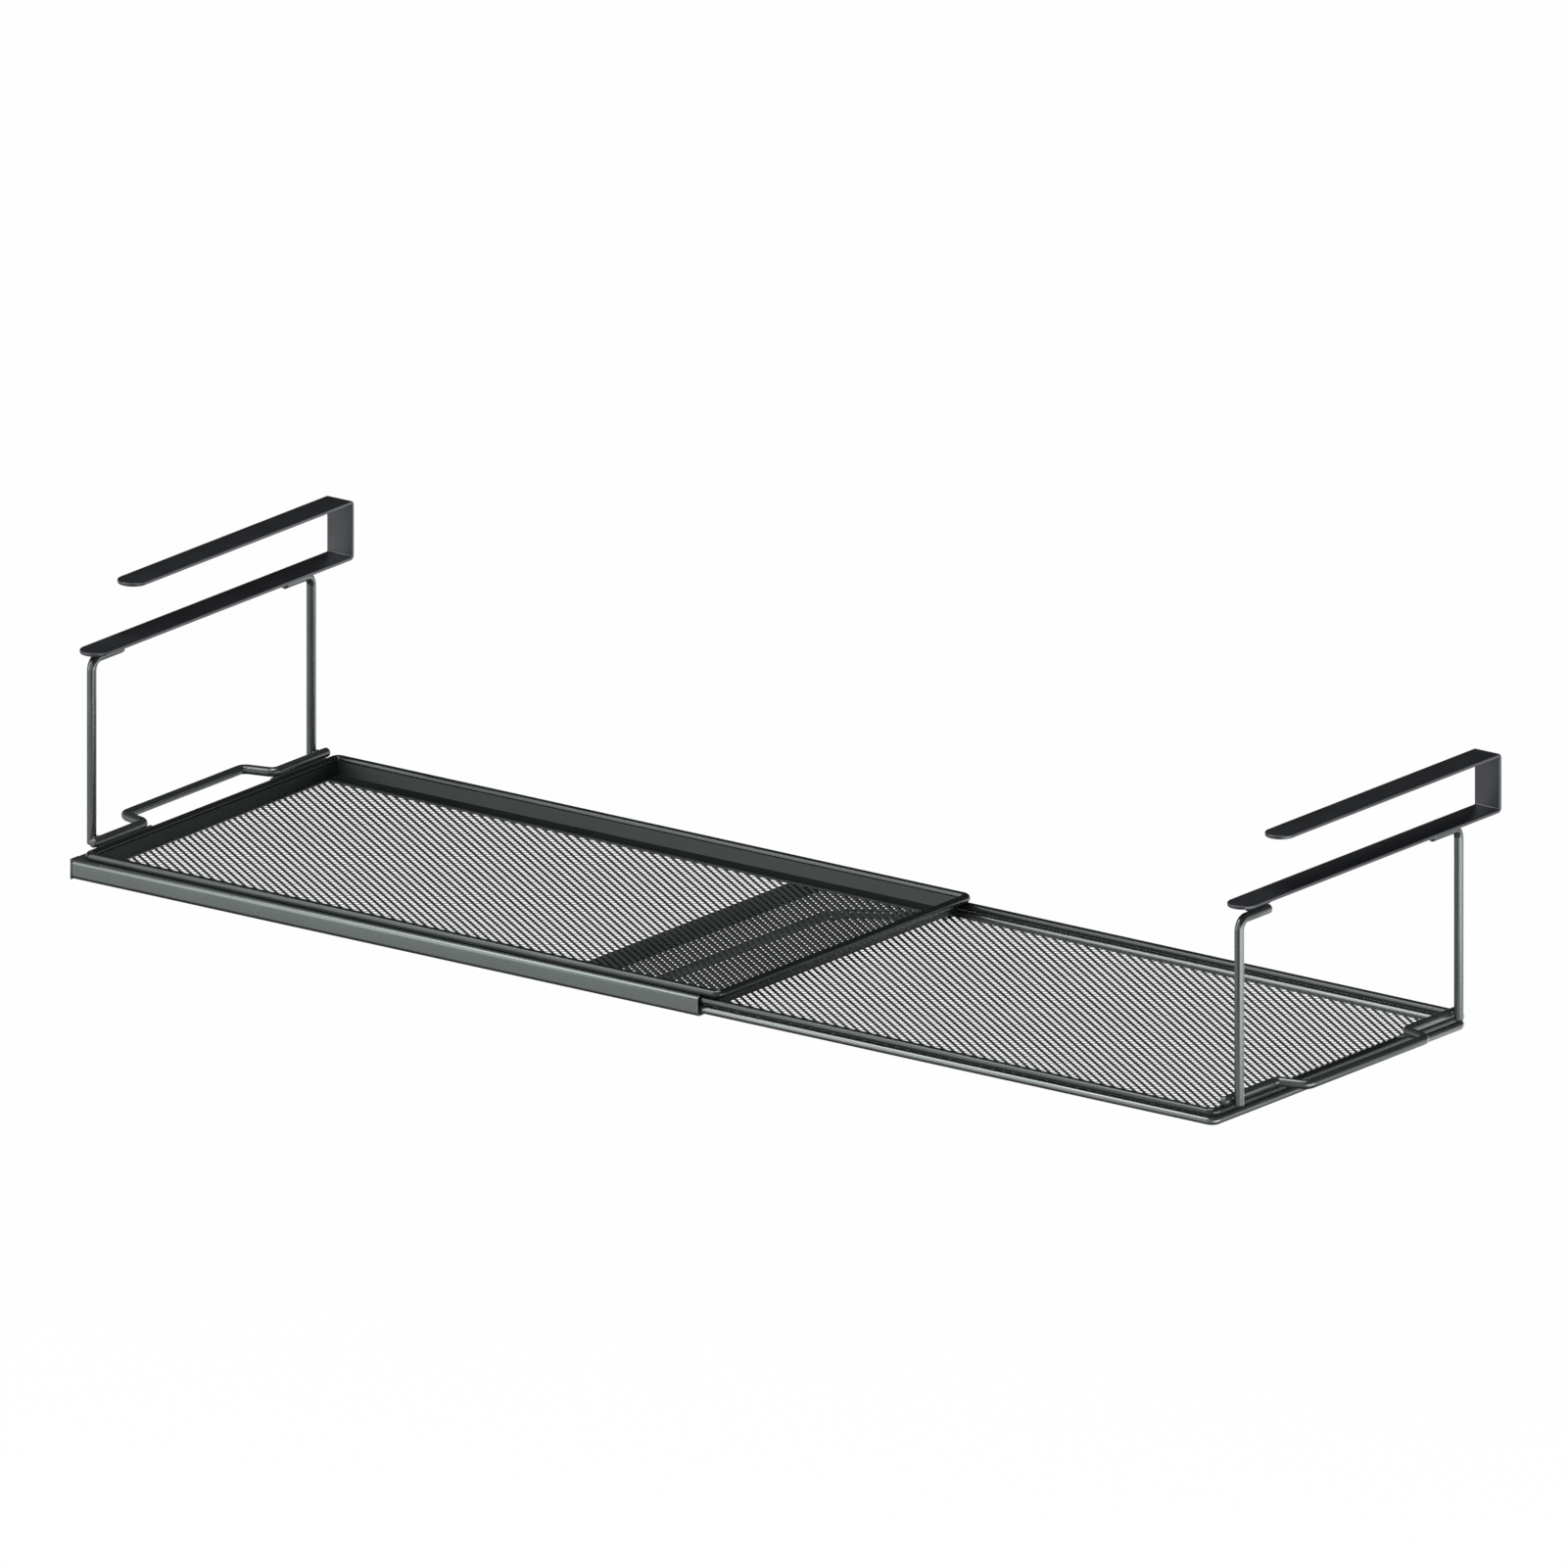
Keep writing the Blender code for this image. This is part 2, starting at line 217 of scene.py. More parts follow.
def roundEnds(piece, offset):
    pickWireEnds(piece)
    bpy.ops.mesh.select_mode(type="FACE")
    bpy.ops.mesh.region_to_loop()
    bpy.ops.mesh.bevel(offset=offset, segments=4, affect="EDGES")
    finishEdit()


def closeRing(piece):
    pickWireEnds(piece)
    bpy.ops.mesh.delete(type="FACE")
    finishEdit()


class Reading:     # a socket that can be reckoned with
    def __init__(self, finish, socket):
        self.finish = finish
        self.socket = socket

    def reckon(self, operation, first, second):
        return self.finish.add("ShaderNodeMath", {"operation": operation}, {0: first, 1: second})

    def __add__(self, other):
        return self.reckon("ADD", self, other)

    def __radd__(self, other):
        return self.reckon("ADD", other, self)

    def __sub__(self, other):
        return self.reckon("SUBTRACT", self, other)

    def __rsub__(self, other):
        return self.reckon("SUBTRACT", other, self)

    def __mul__(self, other):
        return self.reckon("MULTIPLY", self, other)

    def __rmul__(self, other):
        return self.reckon("MULTIPLY", other, self)

    def __gt__(self, other):
        return self.reckon("GREATER_THAN", self, other)


class Finish:
    def __init__(self, name):
        self.material = bpy.data.materials.new(name)
        self.material.use_nodes = True
        self.tree = self.material.node_tree
        self.shader = self.tree.nodes["Principled BSDF"]

    def feed(self, socket, value):
        if isinstance(value, Reading):
            self.tree.links.new(value.socket, socket)
        else:
            socket.default_value = value

    def add(self, kind, settings, inputs, output=0):
        node = self.tree.nodes.new(kind)
        for setting, value in settings.items():
            if setting == "stops":
                ramp = node.color_ramp
                while len(ramp.elements) < len(value):
                    ramp.elements.new(1)
                for element, (place, shade) in zip(ramp.elements, value):
                    element.position = place
                    element.color = (*shade, 1)
            else:
                setattr(node, setting, value)
        for socket, value in inputs.items():
            self.feed(node.inputs[socket], value)
        return Reading(self, node.outputs[output])

    def noise(self, scale, detail, roughness):
        spot = self.add("ShaderNodeTexCoord", {}, {}, "Object")
        return self.add("ShaderNodeTexNoise", {}, {"Vector": spot, "Scale": scale,
                        "Detail": detail, "Roughness": roughness}, "Fac")

    def ramp(self, value, stops):
        return self.add("ShaderNodeValToRGB", {"stops": stops}, {"Fac": value}, "Color")

    def mix(self, share, first, second):
        return self.add("ShaderNodeMix", {"data_type": "RGBA"},
                        {"Factor": share, 6: first, 7: second}, 2)


coatValues = {
    "tone": (0.105, 0.114, 0.111),
    "toneAway": (0.088, 0.097, 0.095),
    "metal": 0.82,
    "rough": 0.30,
    "roughSpread": 0.10,
    "clouds": 38.0,         # broad changes of tone, per metre
    "peelScale": 1500.0,    # orange peel of the baked powder, per metre
    "peelDepth": 0.05,
    "grit": 5200.0,         # grains of the powder, per metre
    "gritAbove": 0.66,      # only the highest grains are paler
    "gritShare": 0.35,
    "gritPaler": 1.25,
    "gritRough": 0.6,
    "gritDepth": 0.02,
    "bumpDistance": 0.0001,
}


def powderCoat(name, **changes):
    values = {**coatValues, **changes}
    finish = Finish(name)
    clouds = finish.noise(values["clouds"], 3, 0.6)
    specks = finish.noise(values["grit"], 1, 0.5)
    tone = finish.ramp(clouds, [(0.3, values["toneAway"]), (0.7, values["tone"])])
    paler = tuple(min(1, part * values["gritPaler"]) for part in values["tone"])
    grains = (specks > values["gritAbove"]) * values["gritShare"]
    tone = finish.mix(grains, tone, (*paler, 1))
    rough = values["rough"] + (clouds - 0.5) * values["roughSpread"]
    rough = rough + (specks - 0.5) * values["roughSpread"] * values["gritRough"]
    peel = finish.noise(values["peelScale"], 2, 0.55)
    height = peel * values["peelDepth"] + specks * values["gritDepth"]
    bump = finish.add("ShaderNodeBump", {}, {"Strength": 1.0, "Distance": values["bumpDistance"],
                      "Height": height}, "Normal")
    finish.feed(finish.shader.inputs["Base Color"], tone)
    finish.feed(finish.shader.inputs["Roughness"], rough)
    finish.feed(finish.shader.inputs["Normal"], bump)
    finish.shader.inputs["Metallic"].default_value = values["metal"]
    return finish.material


# one coat in lighter and darker copies, set beside the photo: each kind of piece gets the tone that
# paints in the light or shade falling on it
wireCoat = powderCoat("wireCoat", rough=0.26)
# darker copy of the coat for the rim and the upper wire: painted shade
rimPaintedShadeCoat = powderCoat("rimPaintedShadeCoat", tone=(0.05, 0.055, 0.054), toneAway=(0.042, 0.047, 0.046),
                     rough=0.24)
# lighter copy of the coat for the lower wire: painted highlight
lowPaintedHighlightCoat = powderCoat("lowPaintedHighlightCoat", tone=(0.15, 0.162, 0.159), toneAway=(0.13, 0.141, 0.138),
                     rough=0.24)
# darker copy of the coat for the clip strips: painted shade on their tops
stripPaintedShadeCoat = powderCoat("stripPaintedShadeCoat", tone=(0.066, 0.069, 0.075), toneAway=(0.055, 0.058, 0.063),
                       rough=0.36)
sheetCoat = powderCoat("sheetCoat", rough=0.34)
# lighter copy of the coat for the rails: painted light on their faces
railPaintedLightCoat = powderCoat("railPaintedLightCoat", tone=(0.125, 0.141, 0.136), toneAway=(0.116, 0.131, 0.126),
                      rough=0.28)
# much darker copy of the coat for the pan: painted shade
panPaintedShadeCoat = powderCoat("panPaintedShadeCoat", tone=(0.025, 0.029, 0.0275), toneAway=(0.02, 0.024, 0.0225),
                     rough=0.4)
# darker copy of the coat for the sliding end bar: painted shade
barPaintedShadeCoat = powderCoat("barPaintedShadeCoat", tone=(0.034, 0.039, 0.037), toneAway=(0.026, 0.031, 0.029),
                     rough=0.4)
# slightly lighter copy of the coat for the mesh strands: painted light
meshPaintedLightCoat = powderCoat("meshPaintedLightCoat", tone=(0.115, 0.124, 0.122), toneAway=(0.095, 0.104, 0.102),
                      rough=0.42)
weldCoat = powderCoat("weldCoat", rough=0.38, peelDepth=0.3, peelScale=900.0)
print("finishes made")


def dress(piece, node, body, material, degrees=35):
    smooth(piece, degrees)
    piece.data.materials.clear()
    piece.data.materials.append(material)
    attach(piece, body)
    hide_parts(node)


def finishWire(piece, endRound, node, body, material):
    roundEnds(piece, endRound)
    outwards(piece)
    dress(piece, node, body, material)


rimValues = {"bend": 0.003}


def rimWire():
    low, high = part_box("main_tray_rim")
    thick = high.z - low.z
    left, right = low.x + thick / 2, high.x - thick / 2
    half, z = high.y - thick / 2, (low.z + high.z) / 2
    bend = rimValues["bend"]
    start = Vector(((left + right) / 2, -half, z))
    piece = startWire("mainRimWire", start, xWay, zWay, thick)
    straight, cross = (right - left) / 2 - bend, 2 * (half - bend)
    drawPath(piece, start, xWay, [
        straight, (90, bend, yWay), cross, (90, bend, -xWay), straight * 2,
        (90, bend, -yWay), cross, (90, bend, xWay), straight])
    closeRing(piece)
    outwards(piece)
    dress(piece, "main_tray_rim", "main_body", rimPaintedShadeCoat)


slidingValues = {"bend": 0.0034, "endRound": 0.0009}


def slidingWire(name, node, material):
    low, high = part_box(node)
    thick = high.z - low.z
    bend = slidingValues["bend"]
    right, half, z = high.x - thick / 2, high.y - thick / 2, (low.z + high.z) / 2
    start = Vector((low.x, -half, z))
    piece = startWire(name, start, xWay, zWay, thick)
    long, cross = right - low.x - bend, 2 * (half - bend)
    drawPath(piece, start, xWay, [long, (90, bend, yWay), cross, (90, bend, -xWay), long])
    finishWire(piece, slidingValues["endRound"], node, "sliding_body", material)


hoopValues = {"spread": 0.0276, "splay": 32, "bend": 0.025, "endRound": 0.0009}


def hoop():
    low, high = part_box("sliding_tray_hoop")
    thick = high.z - low.z
    spread, bend = hoopValues["spread"], hoopValues["bend"]
    splay = math.radians(hoopValues["splay"])
    tip = high.y - thick / 2 * math.cos(splay)
    root = tip - spread
    rootX, z = low.x + thick / 2, (low.z + high.z) / 2
    tipX = rootX + spread / math.tan(splay)
    turn = 90 - hoopValues["splay"]
    reach = bend * math.tan(math.radians(turn) / 2)
    leg = spread / math.sin(splay) - reach
    heading = Vector((-math.cos(splay), math.sin(splay), 0))
    start = Vector((tipX, -tip, z))
    piece = startWire("slidingHoop", start, heading, zWay, thick)
    side = Vector((math.sin(splay), math.cos(splay), 0))
    drawPath(piece, start, heading, [
        leg, (turn, bend, side), 2 * (root - reach), (turn, bend, xWay), leg], 12)
    finishWire(piece, hoopValues["endRound"], "sliding_tray_hoop", "sliding_body", wireCoat)


rodValues = {"bend": 0.006, "endRound": 0.0011}


def rod(name, node, body, side):
    low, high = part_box(node)
    thick = high.x - low.x
    x, z = (low.x + high.x) / 2, high.z - thick / 2
    near, far = sorted((abs(low.y), abs(high.y)))
    y = side * (far - thick / 2)
    start = Vector((x, side * near, z))
    piece = startWire(name, start, yWay * side, xWay, thick)
    bend = rodValues["bend"]
    drawPath(piece, start, yWay * side, [
        abs(y) - near - bend, (90, bend, -zWay), z - bend - low.z])
    finishWire(piece, rodValues["endRound"], node, body, wireCoat)


def spacer():
    low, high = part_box("sliding_tab_spacer")
    thick = high.x - low.x
    start = Vector(((low.x + high.x) / 2, low.y, (low.z + high.z) / 2))
    piece = startWire("slidingSpacer", start, yWay, zWay, thick)
    drawPath(piece, start, yWay, [high.y - low.y])
    finishWire(piece, rodValues["endRound"], "sliding_tab_spacer", "sliding_body", wireCoat)


# The handle's root is the length between its inner bends, its grip that between its outer ones.
footValues = {"root": 0.110, "grip": 0.101, "reach": 0.017, "bend": 0.0045, "endRound": 0.0012}


def foot(name, node, body, outward):
    low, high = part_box(node)
    thick = high.z - low.z
    x = high.x - thick / 2 if outward < 0 else low.x + thick / 2
    z, half = (low.z + high.z) / 2, high.y
    root, grip, bend = footValues["root"], footValues["grip"], footValues["bend"]
    slant = math.atan2((root - grip) / 2, footValues["reach"])
    turn = math.pi / 2 - slant
    short = bend * math.tan(turn / 2)
    end = half - root / 2 - short
    leg = math.hypot(footValues["reach"], (root - grip) / 2) - 2 * short
    start = Vector((x, -half, z))
    piece = startWire(name, start, yWay, zWay, thick)
    out = xWay * outward
    leanSide = Vector((-outward * math.sin(slant), math.cos(slant), 0))
    backSide = Vector((outward * math.sin(slant), math.cos(slant), 0))
    turn = math.degrees(turn)
    drawPath(piece, start, yWay, [
        end, (turn, bend, out), leg, (turn, bend, leanSide), grip - 2 * short,
        (turn, bend, -out), leg, (turn, bend, backSide), end])
    finishWire(piece, footValues["endRound"], node, body, wireCoat)


rimWire()
# the same wire twice: the upper in the darker copy, the lower in the lighter one, painted shade and
# painted highlight
slidingWire("slidingUpperWire", "sliding_tray_upper_wire", rimPaintedShadeCoat)
slidingWire("slidingLowerWire", "sliding_tray_lower_wire", lowPaintedHighlightCoat)
hoop()
for prefix, body in (("main", "main_body"), ("sliding", "sliding_body")):
    rod(prefix + "FrontRod", prefix + "_rod_front", body, -1)
    rod(prefix + "BackRod", prefix + "_rod_back", body, 1)
spacer()
foot("mainFootWire", "main_foot", "main_body", -1)
foot("slidingFootWire", "sliding_foot", "sliding_body", 1)
print("wires drawn")


clipValues = {"sheet": 0.002, "bend": 0.0016, "tipRound": 0.0078, "edge": 0.0005,
              "upperTip": -0.0661}


def clip(name, node, body):
    low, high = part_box(node)
    sheet, bend = clipValues["sheet"], clipValues["bend"]
    x, wide = (low.x + high.x) / 2, high.x - low.x
    start = Vector((x, low.y, low.z + sheet / 2))
    piece = startSheet(name, start, wide, sheet, turned(yWay, xWay))
    back, top = high.y - sheet / 2, high.z - sheet / 2
    drawPath(piece, start, yWay, [
        back - bend - low.y, (90, bend, zWay), top - start.z - 2 * bend,
        (90, bend, -yWay), back - bend - clipValues["upperTip"]])
    edit(piece)
    tips = (low.y, clipValues["upperTip"])

    def tipEdge(edge):
        ends = [corner.co for corner in edge.verts]
        upright = abs(ends[0].z - ends[1].z) > sheet / 2
        return upright and min(abs(ends[0].y - tip) for tip in tips) < tiny

    pickEdges(piece, tipEdge)
    bpy.ops.mesh.bevel(offset=clipValues["tipRound"], segments=8, affect="EDGES")
    finishEdit()
    outwards(piece)
    applyBevel(piece, clipValues["edge"], 3)
    dress(piece, node, body, stripPaintedShadeCoat, 30)


clip("mainClip", "main_clip", "main_body")
clip("slidingClip", "sliding_clip", "sliding_body")
print("clips bent")


railValues = {"sheet": 0.0009, "bend": 0.0022, "edge": 0.0004, "topFlange": 0.0027}


def rail(name, node, side):
    low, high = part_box(node)
    sheet, bend = railValues["sheet"], railValues["bend"]
    long = high.x - low.x
    inside, outside = sorted((abs(low.y), abs(high.y)))
    web = outside - sheet / 2
    flangeIn = web - railValues["topFlange"]
    top, bottom = high.z - sheet / 2, low.z + sheet / 2
    start = Vector(((low.x + high.x) / 2, side * flangeIn, top))
    piece = startSheet(name, start, long, sheet, turned(yWay * side, xWay))
    drawPath(piece, start, yWay * side, [
        web - flangeIn - bend, (90, bend, -zWay), top - bottom - 2 * bend,
        (90, bend, -yWay * side), web - bend - inside], 8)
    outwards(piece)
    applyBevel(piece, railValues["edge"], 3)
    dress(piece, node, "main_body", railPaintedLightCoat, 30)


plateValues = {"edge": 0.0002}


def plate(name, node, body, material):
    low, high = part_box(node)
    deselectAll()
    bpy.ops.mesh.primitive_cube_add(size=1, location=(low + high) / 2)
    piece = settle(name, high - low)
    applyBevel(piece, plateValues["edge"], 2)
    dress(piece, node, body, material, 30)
    return piece


capValues = {"sheet": 0.00025, "reach": 0.0175, "depth": 0.0135, "room": 0.0004}


# The rail's end plate carries a thin lap under the rim's corner, round the pan's outside.
def railCap(name, node, side):
    piece = plate(name, node, "main_body", sheetCoat)
    low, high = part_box(node)
    z = (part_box("main_tray_rim")[0].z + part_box("sliding_tray_upper_wire")[1].z) / 2
    outer = max(abs(low.y), abs(high.y))
    panLow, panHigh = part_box("main_tray_pan")
    innerX, innerY = panLow.x - capValues["room"], panHigh.y + capValues["room"]
    corner = ((low.x + innerX) / 2, side * (outer + innerY) / 2, z)
    lap = startSheet("lap", corner, innerX - low.x, outer - innerY)
    edit(lap)
    pickEdges(lap, lambda edge: middleOf(edge).x > innerX - tiny)
    push(xWay * (low.x + capValues["reach"] - innerX))
    pickEdges(lap, lambda edge: abs(middleOf(edge).y) < innerY + tiny
              and middleOf(edge).x < innerX - tiny)
    push(yWay * side * (outer - capValues["depth"] - innerY))
    finishEdit()
    applySheet(lap, capValues["sheet"])
    outwards(lap)
    lap.data.materials.append(sheetCoat)
    joinTo(piece, [lap])
    smooth(piece, 30)


for label, side in (("front", -1), ("back", 1)):
    rail(label + "Rail", label + "_rail", side)
    railCap(label + "RailEnd", label + "_rail_end_plate", side)
    plate(label + "RailStop", label + "_rail_stop", "main_body", sheetCoat)
plate("slidingEndBar", "sliding_tray_end_bar", "sliding_body", barPaintedShadeCoat)
print("rails bent")


panValues = {"sheet": 0.0008, "draft": 0.001, "corner": 0.0009, "endBorder": 0.0004,
             "sideBorder": 0.0095, "edge": 0.0003}


def pan():
    low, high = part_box("main_tray_pan")
    sheet = panValues["sheet"]
    middle = (low + high) / 2
    wide, deep = high.x - low.x, high.y - low.y
    centre = (middle.x, 0, 0)
    piece = startSheet("mainPan", (middle.x, 0, high.z), wide, deep)
    edit(piece)
    pickAll("VERT")
    bpy.ops.mesh.bevel(offset=panValues["corner"], segments=6, affect="VERTICES")
    pickAll("FACE")
    push(zWay * (low.z - high.z))
    lean = 2 * panValues["draft"]
    bpy.ops.transform.resize(value=((wide - lean) / wide, (deep - lean) / deep, 1),
                             center_override=centre)
    floorWide = wide - lean - 2 * panValues["endBorder"] - 2 * sheet
    floorDeep = deep - lean - 2 * panValues["sideBorder"] - 2 * sheet
    push(zWay * 0)      # the border's inner edge starts on its outer one
    bpy.ops.transform.resize(value=(floorWide / (wide - lean), floorDeep / (deep - lean), 1),
                             center_override=centre)
    bpy.ops.mesh.delete(type="FACE")
    pickFaces(piece, lambda face: all(abs(v.co.z - high.z) < tiny for v in face.verts))
    bpy.ops.mesh.delete(type="FACE")
    finishEdit()
    outwards(piece)
    floorFace = min(piece.data.polygons, key=lambda face: face.center.z)
    if floorFace.normal.z > 0:      # the wall's thickness goes inwards from the outside
        edit(piece)
        bpy.ops.mesh.select_all(action="SELECT")
        bpy.ops.mesh.flip_normals()
        finishEdit()
    applySheet(piece, sheet, offset=-1, even=True)
    applyBevel(piece, panValues["edge"], 2, 50)
    dress(piece, "main_tray_pan", "main_body", panPaintedShadeCoat, 30)


pan()
print("pan pressed")


meshValues = {
    "pitch": 0.0039,        # between strands, square to them
    "angle": 35.0,          # of the strands, from X
    "strand": 0.00175,      # strands that fall towards the front
    "thinStrand": 0.00072,  # strands that cross them
    "sheet": 0.00014,
    "sideEdge": 0.0025,     # plain edges in front of the strands and behind them
    "endEdge": 0.0004,
    "edgeProud": 0.0001,    # how much thicker an edge is, on each face
    "spareCells": 4,
    "parallax": 1.013,      # of a floor below another, square to the strands
    "peep": 0.0012,         # how far the lower strands show beside the upper ones
}


def meshFloor(name, node, body, shift):
    low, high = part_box(node)
    angle = math.radians(meshValues["angle"])
    pitch = meshValues["pitch"]
    longDiagonal, shortDiagonal = pitch / math.sin(angle), pitch / math.cos(angle)
    middle = (low + high) / 2
    across = (high.x - low.x) / longDiagonal + (high.y - low.y) / shortDiagonal
    cells = 2 * math.ceil(across / 2) + meshValues["spareCells"]
    deselectAll()
    bpy.ops.mesh.primitive_grid_add(x_subdivisions=cells, y_subdivisions=cells, size=cells)
    piece = bpy.context.active_object
    piece.name = piece.data.name = name
    # cells are stretched while they are inset, so that the crossing strands come out thinner
    slim = meshValues["strand"] / meshValues["thinStrand"]
    edit(piece)
    pickAll("FACE")
    bpy.ops.transform.resize(value=(1, slim, 1), center_override=(0, 0, 0))
    bpy.ops.mesh.inset(thickness=meshValues["strand"] / pitch / 2, use_individual=True,
                       use_even_offset=True)
    bpy.ops.mesh.delete(type="FACE")
    bpy.ops.mesh.select_all(action="SELECT")
    bpy.ops.transform.resize(value=(1, 1 / slim, 1), center_override=(0, 0, 0))
    finishEdit()
    # turned on its corner, a square cell becomes a diamond
    piece.rotation_euler = (0, 0, math.radians(45))
    bpy.ops.object.transform_apply(location=False, rotation=True, scale=False)
    root = math.sqrt(2)
    piece.scale = (longDiagonal / root, shortDiagonal / root, 1)
    bpy.ops.object.transform_apply(location=False, rotation=False, scale=True)
    # both floors keep to one lattice, and the shift is from there
    lattice = longDiagonal * round(middle.x / longDiagonal)
    piece.location = (lattice + shift[0], middle.y + shift[1], (low.z + high.z) / 2)
    bpy.ops.object.transform_apply(location=True, rotation=False, scale=False)

    def outside(face):
        spot = face.calc_center_median()
        return (spot.x < low.x - longDiagonal or spot.x > high.x + longDiagonal
                or spot.y < low.y - shortDiagonal or spot.y > high.y + shortDiagonal)

    edit(piece)
    bpy.ops.mesh.select_mode(type="FACE")
    pickFaces(piece, outside)
    bpy.ops.mesh.delete(type="FACE")
    # the strands end halfway into the plain edges
    end, side = meshValues["endEdge"] / 2, meshValues["sideEdge"] / 2
    for spot, way in ((xWay * (low.x + end), -xWay), (xWay * (high.x - end), xWay),
                      (yWay * (low.y + side), -yWay), (yWay * (high.y - side), yWay)):
        bpy.ops.mesh.select_all(action="SELECT")
        bpy.ops.mesh.bisect(plane_co=spot, plane_no=way, clear_outer=True)
    finishEdit()
    applySheet(piece, meshValues["sheet"])
    joinTo(piece, [meshBorder(low, high)])
    dress(piece, node, body, meshPaintedLightCoat, 30)


def meshBorder(low, high):
    end, side = meshValues["endEdge"], meshValues["sideEdge"]
    middle, size = (low + high) / 2, high - low
    piece = startSheet("border", middle, size.x, size.y)
    edit(piece)
    pickAll("FACE")
    bpy.ops.mesh.inset(thickness=side, use_even_offset=True)
    stretch = (size.x - 2 * end) / (size.x - 2 * side)
    bpy.ops.transform.resize(value=(stretch, 1, 1), center_override=middle)
    bpy.ops.mesh.delete(type="FACE")
    finishEdit()
    applySheet(piece, meshValues["sheet"] + 2 * meshValues["edgeProud"])
    return piece


meshFloor("mainMesh", "main_tray_mesh", "main_body", (0, 0))
# seen from the photo's side, the lower strands peep out beside the upper ones
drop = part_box("main_tray_mesh")[0].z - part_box("sliding_tray_mesh")[0].z
beside = drop * meshValues["parallax"] + meshValues["peep"]
square = math.radians(90 - meshValues["angle"])
meshFloor("slidingMesh", "sliding_tray_mesh", "sliding_body",
          (beside * math.cos(square), beside * math.sin(square)))
print("meshes cut")


weldValues = {
    "size": 0.0017,
    "bead": 0.003,              # length of a bead on a tab or a rod's foot
    "tabPlaces": (0.3, 0.62),   # along a tab, as shares of it
    "tabBeside": 0.0019,        # from the tab's middle
    "tabBelow": 0.0006,         # from the clip's underside
    "footBeside": 0.0013,       # from the rod's middle
    "footAbove": 0.0012,        # from the foot wire's middle
    "stitch": 0.004,            # from one stitch to the next
    "stitchLength": 0.0076,
    "stitches": 11,
}


def weldSpots(prefix):
    spots = []
    bead = weldValues["bead"]
    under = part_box(prefix + "_clip")[0].z
    footLow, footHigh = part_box(prefix + "_foot")
    thick = footHigh.z - footLow.z
    footX = footHigh.x - thick / 2 if prefix == "main" else footLow.x + thick / 2
    footZ = (footLow.z + footHigh.z) / 2
    trayLow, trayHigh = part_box("main_tray_rim" if prefix == "main" else "sliding_tray_upper_wire")
    trayThick = trayHigh.z - trayLow.z
    trayX = trayLow.x + trayThick / 2 if prefix == "main" else trayHigh.x - trayThick / 2
    # stitches of weld sit where foot wire and tray wire come closest
    seam = Vector((footX, 0, footZ)).lerp(Vector((trayX, 0, (trayLow.z + trayHigh.z) / 2)),
                                          thick / (thick + trayThick))
    for label, side in (("front", -1), ("back", 1)):
        low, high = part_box(prefix + "_rod_" + label)
        x = (low.x + high.x) / 2
        near, far = sorted((abs(low.y), abs(high.y)))
        for share in weldValues["tabPlaces"]:
            y = side * (near + (far - near) * share)
            for edge in (-1, 1):
                spots.append((x + edge * weldValues["tabBeside"], y,
                              under - weldValues["tabBelow"], bead))
        rodY = side * (far - thick / 2)
        for edge in (-1, 1):
            spots.append(((x + footX) / 2, rodY + edge * weldValues["footBeside"],
                          footZ + weldValues["footAbove"], bead))
        for stitch in range(weldValues["stitches"]):
            seamY = side * (far - (stitch + 0.5) * weldValues["stitch"])
            spots.append((seam.x, seamY, seam.z, weldValues["stitchLength"]))
    return spots


def welds(prefix):
    size = weldValues["size"]
    deselectAll()
    bpy.ops.mesh.primitive_uv_sphere_add(segments=10, ring_count=6, radius=size / 2)
    bead = bpy.context.active_object
    beads = []
    for x, y, z, long in weldSpots(prefix):
        twin = bead.copy()
        twin.data = bead.data.copy()
        bpy.context.collection.objects.link(twin)
        stretch = Matrix.Diagonal((1, long / size, 1, 1))
        twin.data.transform(Matrix.Translation((x, y, z)) @ stretch)
        beads.append(twin)
    bpy.data.objects.remove(bead)
    piece = beads[0]
    joinTo(piece, beads[1:])
    piece.name = piece.data.name = prefix + "Welds"
    smooth(piece, 60)
    piece.data.materials.clear()
    piece.data.materials.append(weldCoat)
    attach(piece, prefix + "_body")


welds("main")
welds("sliding")
print("welds set")


studio = {
    "middle": Vector((0.36, 0, -0.12)),
    "skyTone": (0.96, 0.98, 1),
    "skyStrength": 0.55,
    "floorDrop": 0.75,
    "floorSize": 14.0,
    "floorTone": (0.82, 0.82, 0.82),
    "floorWhite": 0.97,       # share of plain white that the camera sees in the floor
    "clothTone": (0.004, 0.004, 0.004),
}


def cameraSees(tree):
    rays = tree.nodes.new("ShaderNodeLightPath")
    first = tree.nodes.new("ShaderNodeMath")
    second = tree.nodes.new("ShaderNodeMath")
    first.operation = second.operation = "MAXIMUM"
    tree.links.new(rays.outputs["Is Camera Ray"], first.inputs[0])
    tree.links.new(rays.outputs["Is Glossy Ray"], first.inputs[1])
    tree.links.new(first.outputs[0], second.inputs[0])
    tree.links.new(rays.outputs["Is Transmission Ray"], second.inputs[1])
    return second.outputs[0]


